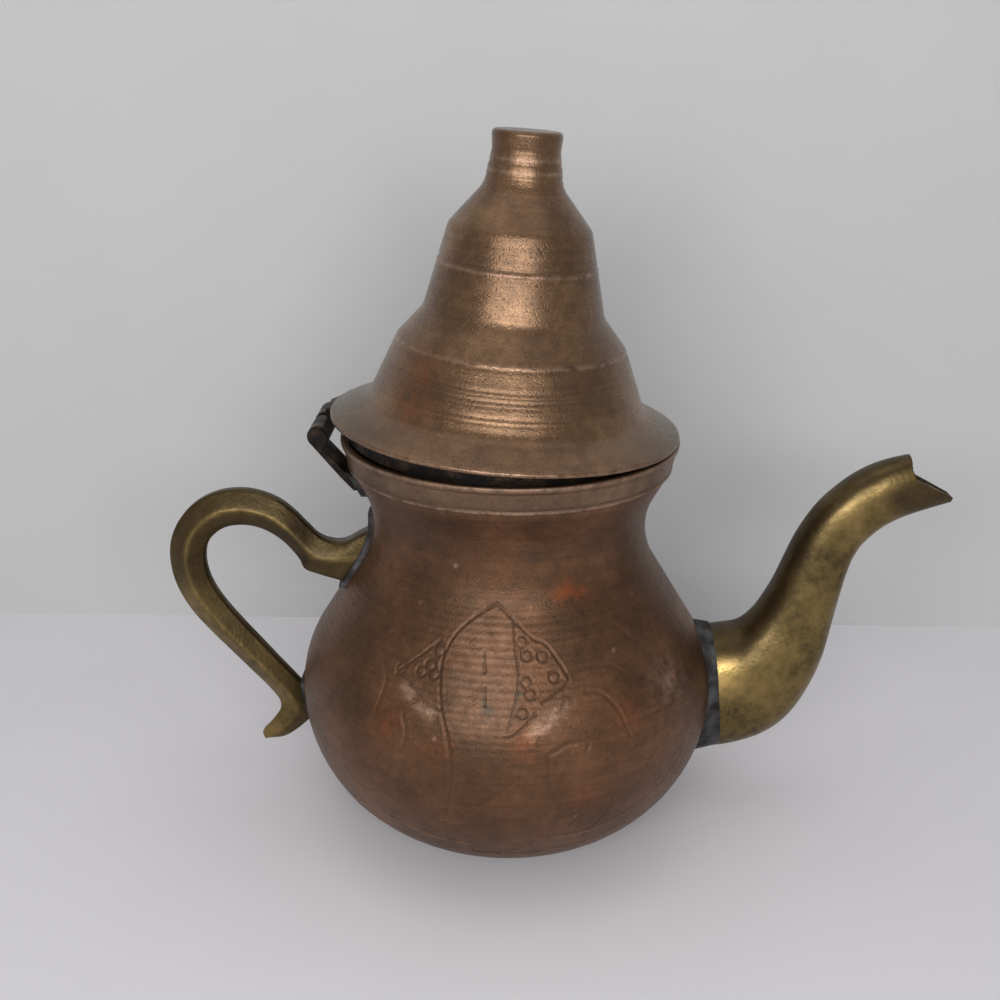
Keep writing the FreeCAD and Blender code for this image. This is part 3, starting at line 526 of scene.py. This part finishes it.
# Stations along its middle as (x, z, heading in degrees, half height, half width).
SPOUT_STATIONS = np.array([
    (50.0, 37.0, 2.0, 18.2, 13.2), (63.7, 37.8, 6.0, 18.4, 12.8), (74.0, 42.0, 23.0, 16.8, 11.8),
    (80.6, 52.0, 46.0, 13.2, 10.2), (84.6, 65.2, 68.0, 10.0, 8.8), (89.6, 82.6, 66.0, 8.5, 7.6),
    (96.2, 92.4, 43.0, 8.5, 6.9), (106.2, 99.2, 20.0, 8.6, 6.0), (124.2, 104.4, 17.0, 7.8, 2.6)])
NOTCH = np.array([(110.2, 106.4), (111.6, 103.4), (122.9, 97.8)])
# The two castings reach this far into the belly's metal, so that no gap shows.
SEAT_DEPTH = 0.3
SKIN_SAMPLES = 1500
SPOUT_TURN = 3.0
BEAK_START = 0.9
BODY_ROWS = 150
BEAK_ROWS = 40
spout_angles = np.radians(np.arange(0, 360, SPOUT_TURN))


def spout_points(share, turn, wall):
    """Points of the spout's skin: at each share of its curve an oval |u|^n + |v|^n = 1 across the
    heading, with the half height and half width of that station, less a wall."""
    x, z, heading, high, wide = np.moveaxis(along(SPOUT_STATIONS, share), -1, 0)
    heading = np.radians(heading)
    up = (high - wall) * np.sign(np.cos(turn)) * np.abs(np.cos(turn)) ** (2 / SPOUT_SQUARE)
    side = (wide - wall) * np.sign(np.sin(turn)) * np.abs(np.sin(turn)) ** (2 / SPOUT_SQUARE)
    return np.stack([x - np.sin(heading) * up, -side, z + np.cos(heading) * up], -1)


def spout_skin(wall, rows):
    """The skin between the belly and the beak: each line along it starts just inside the belly's
    metal and ends where it meets the beak's cut."""
    share = np.linspace(0, 1, SKIN_SAMPLES)[:, None]
    x, y, z = np.moveaxis(spout_points(share, spout_angles, wall), -1, 0)
    belly = np.interp(z, VESSEL_OUTSIDE[:, 1], VESSEL_OUTSIDE[:, 0])
    outside = np.hypot(x, y) > belly - SEAT_DEPTH
    cut = (x > NOTCH[-1, 0]) | ((x > NOTCH[0, 0]) & (z > np.interp(x, NOTCH[:, 0], NOTCH[:, 1])))
    start = share[np.argmax(outside, 0), 0]
    end = share[np.argmax(cut, 0), 0]
    return spout_points(start + (end - start) * rows[:, None], spout_angles + 0 * rows[:, None], wall)


spout_rows = np.concatenate([
    np.linspace(0, BEAK_START, BODY_ROWS, endpoint=False), np.linspace(BEAK_START, 1, BEAK_ROWS)])
bore_rows = spout_rows[::-3]
spout = surface("brass_spout", np.concatenate([
    spout_skin(0.0, spout_rows), spout_skin(SPOUT_WALL, bore_rows)]))


def cast_brass():
    """Old cast brass: olive gold, brown to black tarnish in patches and hollows, a slightly grainy skin
    from the mould. Marks also paint shade on faces turned from the light, and highlights in bright gold."""
    made, tree = material("tarnished_cast_brass")
    place = add(tree, "ShaderNodeTexCoord").outputs["Object"]
    tarnish = add(tree, "ShaderNodeTexNoise", {"Vector": place, "Scale": 1 / (13 * MM), "Detail": 6.0,
                                               "Roughness": 0.65})
    stains = add(tree, "ShaderNodeTexNoise", {"Vector": place, "Scale": 1 / (2.6 * MM), "Detail": 4.0,
                                              "Roughness": 0.65})
    grain = add(tree, "ShaderNodeTexNoise", {"Vector": place, "Scale": 1 / (0.9 * MM), "Detail": 2.0})
    tone = add(tree, "ShaderNodeMath", {0: tarnish.outputs[0], 1: 0.68}, operation="MULTIPLY")
    tone = add(tree, "ShaderNodeMath", {0: stains.outputs[0], 1: 0.32, 2: tone.outputs[0]},
               operation="MULTIPLY_ADD")
    base = add(tree, "ShaderNodeValToRGB", {0: tone.outputs[0]},
               [(0.36, "453822"), (0.45, "61512f"), (0.55, "77633c"), (0.66, "8a7248")]).outputs[0]
    # Dark mark: tarnish and darker patches, and painted shade on faces turned from the light.
    dark = add(tree, "ShaderNodeAttribute", attribute_name="tarnish").outputs["Fac"]
    patchy = add(tree, "ShaderNodeMapRange", {0: stains.outputs[0], 1: 0.3, 2: 0.55, 3: 0.55, 4: 1.0})
    amount = add(tree, "ShaderNodeMath", {0: dark, 1: patchy.outputs[0]}, operation="MULTIPLY")
    base = add(tree, "ShaderNodeMix", {0: amount.outputs[0], 6: base, 7: linear("2f2518")},
               data_type="RGBA").outputs[2]
    # Painted highlights: bright gold, with less roughness, where the highlight mark is.
    bright = add(tree, "ShaderNodeAttribute", attribute_name="painted_highlight").outputs["Fac"]
    amount = add(tree, "ShaderNodeMath", {0: bright, 1: patchy.outputs[0]}, operation="MULTIPLY")
    base = add(tree, "ShaderNodeMix", {0: amount.outputs[0], 6: base, 7: linear("d8b670")},
               data_type="RGBA").outputs[2]
    rough = add(tree, "ShaderNodeMapRange", {0: tone.outputs[0], 1: 0.35, 2: 0.65, 3: 0.46, 4: 0.3})
    rough = add(tree, "ShaderNodeMath", {0: bright, 1: -0.1, 2: rough.outputs[0]}, operation="MULTIPLY_ADD")
    low = add(tree, "ShaderNodeBump", {"Height": tarnish.outputs[0], "Distance": 0.5 * MM, "Strength": 0.6})
    fine = add(tree, "ShaderNodeBump", {"Height": grain.outputs[0], "Distance": 0.06 * MM,
                                        "Normal": low.outputs[0]})
    shader = add(tree, "ShaderNodeBsdfPrincipled", {
        "Base Color": base, "Metallic": 0.78, "Roughness": rough.outputs[0], "Normal": fine.outputs[0]})
    add(tree, "ShaderNodeOutputMaterial", {"Surface": shader.outputs[0]})
    return made


CAST_BRASS = cast_brass()
along_spout = spout_rows[:, None]
upward = np.cos(spout_angles)


def spout_patch(share, reach, side, spread):
    """Soft patch on the spout: exp(-((s - share) / reach)^2 - ((u - side) / spread)^2), where s runs
    from 0 at the root to 1 at the beak and u from -1 below to 1 above."""
    return np.exp(-((along_spout - share) / reach) ** 2 - ((upward - side) / spread) ** 2)


# Painted shade along the spout's upper side, where it faces away from the light. Darker patches on the beak
# below the notch and under the root; the bore is dark all through.
upper_side_shade = np.clip((upward - 0.35) / 0.35, 0, 1) + 0 * along_spout
beak_end = np.clip((along_spout - 0.87) / 0.06, 0, 1) * np.clip((0.3 - upward) / 0.25, 0, 1)
root_underside_dark = spout_patch(0.05, 0.05, -0.75, 0.3)
# Painted highlights on the spout: at the top of the root, weakly along the body, and on the crown by the
# notch.
root_gleam = spout_patch(0.03, 0.08, 0.4, 0.22)
body_gleam = spout_patch(0.2, 0.25, 0.15, 0.25)
crown_gleam = spout_patch(0.86, 0.1, 0.25, 0.2)
spout_dark = np.maximum.reduce([0.66 * upper_side_shade * (1 - root_gleam), 0.75 * beak_end, 0.7 * root_underside_dark])
spout_highlights = root_gleam + 0.08 * body_gleam + 0.15 * crown_gleam
bore = np.ones((len(bore_rows), len(spout_angles)))
mark(spout, "painted_highlight", np.concatenate([spout_highlights, 0 * bore]))
mark(spout, "tarnish", np.concatenate([spout_dark, bore]))
spout.data.materials.append(CAST_BRASS)
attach(spout, "pot")
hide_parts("spout")
dress("spout_solder", SOLDER)

# Handle
# A brass casting filed to a ridge along both sides: a wedge at the neck, a round loop, a
# straight leg and a curled tail. Both ends are soldered to the vessel.
HANDLE_ROWS = 300
RIDGE_ROUND = 0.09
LOOP_END = 0.62
LOOP_FADE = 0.1
FACET_FADE = 0.25
# Its outer and inner edges seen from the side, as (distance out from the axis, height), and half its
# thickness at the ridge and at those edges, station by station.
HANDLE_OUTER = np.array([
    (38.0, 86.1), (42.5, 83.7), (46.8, 81.5), (50.5, 81.7), (54.0, 83.4), (57.4, 86.9), (60.6, 90.4),
    (64.8, 93.8), (70.0, 96.0), (75.8, 96.8), (82.5, 95.7), (88.6, 92.4), (93.2, 87.4), (96.0, 81.0),
    (96.5, 74.0), (95.0, 66.8), (91.6, 59.9), (86.8, 53.5), (81.0, 46.9), (75.2, 40.3), (70.5, 34.9),
    (67.6, 30.6), (67.6, 27.2), (69.3, 24.2), (71.3, 21.7), (73.2, 19.6), (73.3, 18.3)])
HANDLE_INNER = np.array([
    (44.0, 69.4), (49.0, 70.9), (54.0, 72.2), (58.0, 73.4), (59.5, 76.0), (61.6, 79.0), (64.3, 81.9),
    (67.8, 84.4), (71.8, 86.0), (76.0, 86.4), (80.2, 85.6), (83.6, 83.3), (85.9, 80.0), (86.7, 76.0),
    (86.3, 71.5), (84.6, 66.7), (81.7, 61.8), (77.5, 56.2), (72.3, 49.8), (67.0, 43.3), (62.0, 37.3),
    (58.3, 32.8), (56.5, 29.5), (58.0, 25.5), (62.6, 20.9), (67.0, 18.0), (71.6, 17.2)])
HANDLE_RIDGE = np.array([[4.5]] * 20 + [[4.4], [4.2], [3.8], [3.3], [3.0], [2.7], [2.2]])
HANDLE_EDGE = np.array([[3.4], [3.2], [2.8], [2.0]] + [[1.4]] * 19 + [[1.3], [1.2], [1.1], [1.0]])
handle_share = np.linspace(0, 1, HANDLE_ROWS)[:, None]
face_share = np.concatenate([
    np.linspace(-1, -0.3, 8), np.linspace(-0.22, 0.22, 9), np.linspace(0.3, 1, 8)])
ridge = along(HANDLE_RIDGE, handle_share)[..., 0]
edge = along(HANDLE_EDGE, handle_share)[..., 0]
outer_edge = along(HANDLE_OUTER, handle_share)
inner_edge = along(HANDLE_INNER, handle_share)
flank = outer_edge + (inner_edge - outer_edge) * (face_share[:, None] + 1) / 2
depth = edge + (ridge - edge) * (1 - np.sqrt(face_share ** 2 + RIDGE_ROUND ** 2))
near_face = np.stack([-flank[..., 0], -depth, flank[..., 1]], -1)
far_face = np.stack([-flank[..., 0], depth, flank[..., 1]], -1)[:, ::-1]
handle_points = np.concatenate([near_face, far_face], 1)
belly_here = np.interp(handle_points[..., 2], VESSEL_OUTSIDE[:, 1], VESSEL_OUTSIDE[:, 0])
axis_distance = np.hypot(handle_points[..., 0], handle_points[..., 1])
handle_points[..., :2] *= np.maximum(1, (belly_here - SEAT_DEPTH) / axis_distance)[..., None]
handle = surface("brass_handle", handle_points, closed_rows=False, caps=True)
# Painted shade: the loop's upper and inner facets and the leg's inner facet are darker, as faces turned
# from the light.
on_loop = np.clip((LOOP_END - handle_share) / LOOP_FADE, 0, 1)
upper_facet = np.clip(-face_share / FACET_FADE, 0, 1)
inner_facet = np.clip(face_share / FACET_FADE, 0, 1)
facet_shade = on_loop * (0.7 * upper_facet + 0.62 * inner_facet) + 0.5 * (1 - on_loop) * inner_facet
mark(handle, "tarnish", np.concatenate([facet_shade, facet_shade[:, ::-1]], 1))
handle.data.materials.append(CAST_BRASS)
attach(handle, "pot")
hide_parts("handle")
dress("handle_upper_solder", SOLDER)
dress("handle_lower_solder", SOLDER)

# Hinge
# Two copper strips rolled round a pin with peened heads. One is soldered to the neck and
# the other under the lid's flange. Dark with age, rubbed on the knuckles.


def dark_copper():
    """Old copper strip: nearly black oxide, worn to brown on what stands out."""
    made, tree = material("dark_hinge_copper")
    place = add(tree, "ShaderNodeTexCoord").outputs["Object"]
    wear = add(tree, "ShaderNodeTexNoise", {"Vector": place, "Scale": 1 / (4 * MM), "Detail": 5.0})
    dents = add(tree, "ShaderNodeTexNoise", {"Vector": place, "Scale": 1 / (1.4 * MM), "Detail": 2.0})
    base = add(tree, "ShaderNodeValToRGB", {0: wear.outputs[0]},
               [(0.36, "0f0c0a"), (0.52, "1d1611"), (0.7, "402f22")]).outputs[0]
    rough = add(tree, "ShaderNodeMapRange", {0: wear.outputs[0], 1: 0.3, 2: 0.7, 3: 0.62, 4: 0.36})
    bump = add(tree, "ShaderNodeBump", {"Height": dents.outputs[0], "Distance": 0.25 * MM})
    shader = add(tree, "ShaderNodeBsdfPrincipled", {
        "Base Color": base, "Metallic": 0.7, "Roughness": rough.outputs[0], "Normal": bump.outputs[0]})
    add(tree, "ShaderNodeOutputMaterial", {"Surface": shader.outputs[0]})
    return made


HINGE_COPPER = dark_copper()
for node in ("hinge_body_leaf", "hinge_lid_leaf", "hinge_pin"):
    dress(node, HINGE_COPPER)
dress("hinge_body_solder", SOLDER)

# Lid
# One sheet of copper spun in steps: a sloping flange, a steep wall, a cone and a short
# stem with a ring. It rests tilted about its hinge, with the spout's side down.
LID_WALL = 0.9
LID_CORNERS = [
    (47.5, 0.0, 0.0), (47.5, 1.0, 0.3), (37.6, 5.8, 5.0), (30.7, 22.6, 1.2), (24.2, 30.3, 7.0),
    (18.8, 52.6, 3.2), (10.2, 62.9, 7.0), (9.6, 67.2, 1.6), (8.8, 71.6, 3.0), (9.2, 76.5, 1.1),
    (0.4, 76.5, 0.0)]
PIN = np.array([-51.0, 0.0, 116.0])
LID_AXIS = np.array([49.38, 0.0, 4.75])
LID_TILT = math.radians(3.65)
# Rings turned into it as (height, depth), dark heights, painted highlight heights, and the side where it is
# orange.
LID_RINGS = [
    (9.3, 0.10), (10.6, 0.14), (13.2, 0.10), (14.3, 0.16), (15.4, 0.10), (16.5, 0.12), (21.6, 0.08),
    (43.0, -0.16), (44.2, 0.12), (65.0, 0.10), (68.6, 0.12)]
RING_WIDTH = 0.3
DARK_RINGS = np.array([13.2, 14.3, 15.4, 16.5, 44.2, 49.0])
HIGHLIT_EDGES = np.array([0.6, 22.4, 43.0, 66.6, 69.6])
EDGE_WIDTH = 0.45
ORANGE_SIDE = -43.0
ORANGE_SPREAD = 11.0
LID_STEP = 0.4
LID_INNER_ROWS = 60
LID_TURN = 2.0
lid_outside = rounded(LID_CORNERS)
lid_inside = rounded(inset(LID_CORNERS, LID_WALL))[::-1]
lid_outer = at_length(lid_outside, np.arange(0, length_of(lid_outside)[-1], LID_STEP))
lid_inner = at_length(lid_inside, np.linspace(0, length_of(lid_inside)[-1], LID_INNER_ROWS))
ring_heights, ring_depths = np.array(LID_RINGS).T
ring_cut = (ring_depths * np.exp(-((lid_outer[:, 1:] - ring_heights) / RING_WIDTH) ** 2)).sum(1)
lid_outer = lid_outer - ring_cut[:, None] * outward(lid_outer)
lid_angles = np.radians(np.arange(0, 360, LID_TURN))
upright = turned(np.concatenate([lid_inner, lid_outer]), lid_angles) + LID_AXIS
tilting = np.array(Matrix.Rotation(LID_TILT, 3, "Y"))
lid = surface("lid", upright @ tilting.T + PIN, closed_rows=False, caps=True)
lid_heights = lid_outer[:, 1:]
inside_lid = np.zeros((len(lid_inner), len(lid_angles)))
dark_rings = np.exp(-((lid_heights - DARK_RINGS) / RING_WIDTH) ** 2).sum(1, keepdims=True)
edge_highlights = np.exp(-((lid_heights - HIGHLIT_EDGES) / EDGE_WIDTH) ** 2).sum(1, keepdims=True)
from_front = np.degrees(lid_angles + math.pi) % 360 - 180
orange_side = np.exp(-((from_front - ORANGE_SIDE) / ORANGE_SPREAD) ** 2)
low_wall = band(lid_heights, 14.0, 9.0)
# Olive tint with painted shade on the flange's left and right ends, which are seen edge-on.
flange_side_shade = band(lid_heights, 2.5, 3.0) * np.clip(np.abs(np.sin(lid_angles)) * 2 - 1, 0, 1)
mark(lid, "grooves_and_shade", np.concatenate([inside_lid, 0.5 * dark_rings + 0 * lid_angles]))
# Painted highlights along the flange's edge, the steps and the stem's ring.
mark(lid, "highlight_and_wear", np.concatenate([inside_lid, 0.9 * edge_highlights + 0 * lid_angles]))
mark(lid, "orange", np.concatenate([inside_lid, 0.55 * low_wall * orange_side]))
mark(lid, "olive_and_shade", np.concatenate([inside_lid, flange_side_shade]))
lid.data.materials.append(
    spun_copper("red_brown_lid_copper", LID_TILT, ("513a27", "6d5036", "886849"), 0.31, 0.3))
lid.data.materials.append(WIPED_TIN)
tinned_rows = np.arange(len(lid_inner) + len(lid_outer) - 1) < len(lid_inner) - 1
tinned_faces = np.append(np.repeat(tinned_rows, len(lid_angles)), [True, False]).astype(np.int32)
lid.data.polygons.foreach_set("material_index", tinned_faces)
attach(lid, "lid")
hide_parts("lid_shell")

# Skirt
# A copper ring soldered under the flange, which drops into the mouth and keeps the lid
# from sliding off. Dark with age, as the hinge is.
dress("lid_skirt", HINGE_COPPER)

# Stage
# A plain pale floor with a pale wall behind it, a wide soft lamp in front and one above,
# even light from all round, and the camera where the photograph was taken from.
FLOOR_BACK = 118.0
STAGE_HALF = 1600.0
SKY_AT_SIDES = 0.4
SKY_ABOVE = 0.3


def pale_paper(name, code):
    """Matt white card: almost even, with a faint mottle, and clear when it is seen from behind, so
    that no view of the pot is hidden."""
    made, tree = material(name)
    place = add(tree, "ShaderNodeTexCoord").outputs["Object"]
    mottle = add(tree, "ShaderNodeTexNoise", {"Vector": place, "Scale": 1 / (60 * MM), "Detail": 2.0})
    level = add(tree, "ShaderNodeMapRange", {0: mottle.outputs[0], 3: 0.97, 4: 1.03})
    tint = add(tree, "ShaderNodeMix", {0: 1.0, 6: linear(code), 7: level.outputs[0]}, data_type="RGBA",
               blend_type="MULTIPLY")
    shader = add(tree, "ShaderNodeBsdfPrincipled", {"Base Color": tint.outputs[2], "Roughness": 0.9})
    behind = add(tree, "ShaderNodeNewGeometry").outputs["Backfacing"]
    clear = add(tree, "ShaderNodeBsdfTransparent").outputs[0]
    mixed = add(tree, "ShaderNodeMixShader", {0: behind, 1: shader.outputs[0], 2: clear})
    add(tree, "ShaderNodeOutputMaterial", {"Surface": mixed.outputs[0]})
    return made


def card(name, corners, code):
    """Flat four-cornered card of the stage, its corners in order."""
    mesh = bpy.data.meshes.new(name)
    mesh.from_pydata((np.array(corners) * MM).tolist(), [], [[0, 1, 2, 3]])
    mesh.materials.append(pale_paper(name + "_card", code))
    piece = bpy.data.objects.new(name, mesh)
    bpy.context.scene.collection.objects.link(piece)


card("floor", [(-STAGE_HALF, -STAGE_HALF, 0), (STAGE_HALF, -STAGE_HALF, 0), (STAGE_HALF, STAGE_HALF, 0),
               (-STAGE_HALF, STAGE_HALF, 0)], "e8e6ea")
card("back_wall", [(-STAGE_HALF, FLOOR_BACK, 0), (STAGE_HALF, FLOOR_BACK, 0),
                   (STAGE_HALF, FLOOR_BACK, STAGE_HALF), (-STAGE_HALF, FLOOR_BACK, STAGE_HALF)], "cecece")

scene = bpy.context.scene
scene.view_settings.view_transform = "Standard"
scene.world = bpy.data.worlds.new("even_light")
scene.world.use_nodes = True
world_tree = scene.world.node_tree
world_tree.nodes.clear()
direction = add(world_tree, "ShaderNodeTexCoord").outputs["Generated"]
raised = add(world_tree, "ShaderNodeSeparateXYZ", {0: direction}).outputs["Z"]
light_level = add(world_tree, "ShaderNodeMapRange", {0: raised, 3: SKY_AT_SIDES, 4: SKY_ABOVE})
sky = add(world_tree, "ShaderNodeBackground", {
    "Color": linear("ffffff"), "Strength": light_level.outputs[0]})
add(world_tree, "ShaderNodeOutputWorld", {"Surface": sky.outputs[0]})


def soft_lamp(name, place, aim, width, height, watts):
    """Rectangular lamp at a place, turned towards a point."""
    light = bpy.data.lights.new(name, "AREA")
    light.shape = "RECTANGLE"
    light.size = width
    light.size_y = height
    light.energy = watts
    lamp = bpy.data.objects.new(name, light)
    lamp.location = place
    lamp.rotation_euler = (Vector(aim) - Vector(place)).to_track_quat("-Z", "Y").to_euler()
    scene.collection.objects.link(lamp)


soft_lamp("front_lamp", (-0.03, -0.56, 0.29), (0.0, 0.0, 0.1), 0.6, 0.14, 2.3)
soft_lamp("top_lamp", (0.0, 0.0, 0.56), (0.0, 0.001, 0.0), 0.5, 0.4, 0.5)

CAMERA_PLACE = Vector((0.0, -0.31621, 0.21051))
CAMERA_PITCH = 0.35178
CAMERA_YAW = -0.00821
CAMERA_ROLL = 0.01086
level_ahead = Vector((math.sin(CAMERA_YAW), math.cos(CAMERA_YAW), 0))
level_right = Vector((math.cos(CAMERA_YAW), -math.sin(CAMERA_YAW), 0))
ahead = level_ahead * math.cos(CAMERA_PITCH) - Vector((0, 0, math.sin(CAMERA_PITCH)))
above = level_ahead * math.sin(CAMERA_PITCH) + Vector((0, 0, math.cos(CAMERA_PITCH)))
right = level_right * math.cos(CAMERA_ROLL) + above * math.sin(CAMERA_ROLL)
top = above * math.cos(CAMERA_ROLL) - level_right * math.sin(CAMERA_ROLL)
view = bpy.data.cameras.new("camera")
view.lens = 43.2
view.sensor_width = 36.0
camera = bpy.data.objects.new("camera", view)
camera.matrix_world = Matrix.Translation(CAMERA_PLACE) @ Matrix((right, top, -ahead)).transposed().to_4x4()
scene.collection.objects.link(camera)
scene.camera = camera
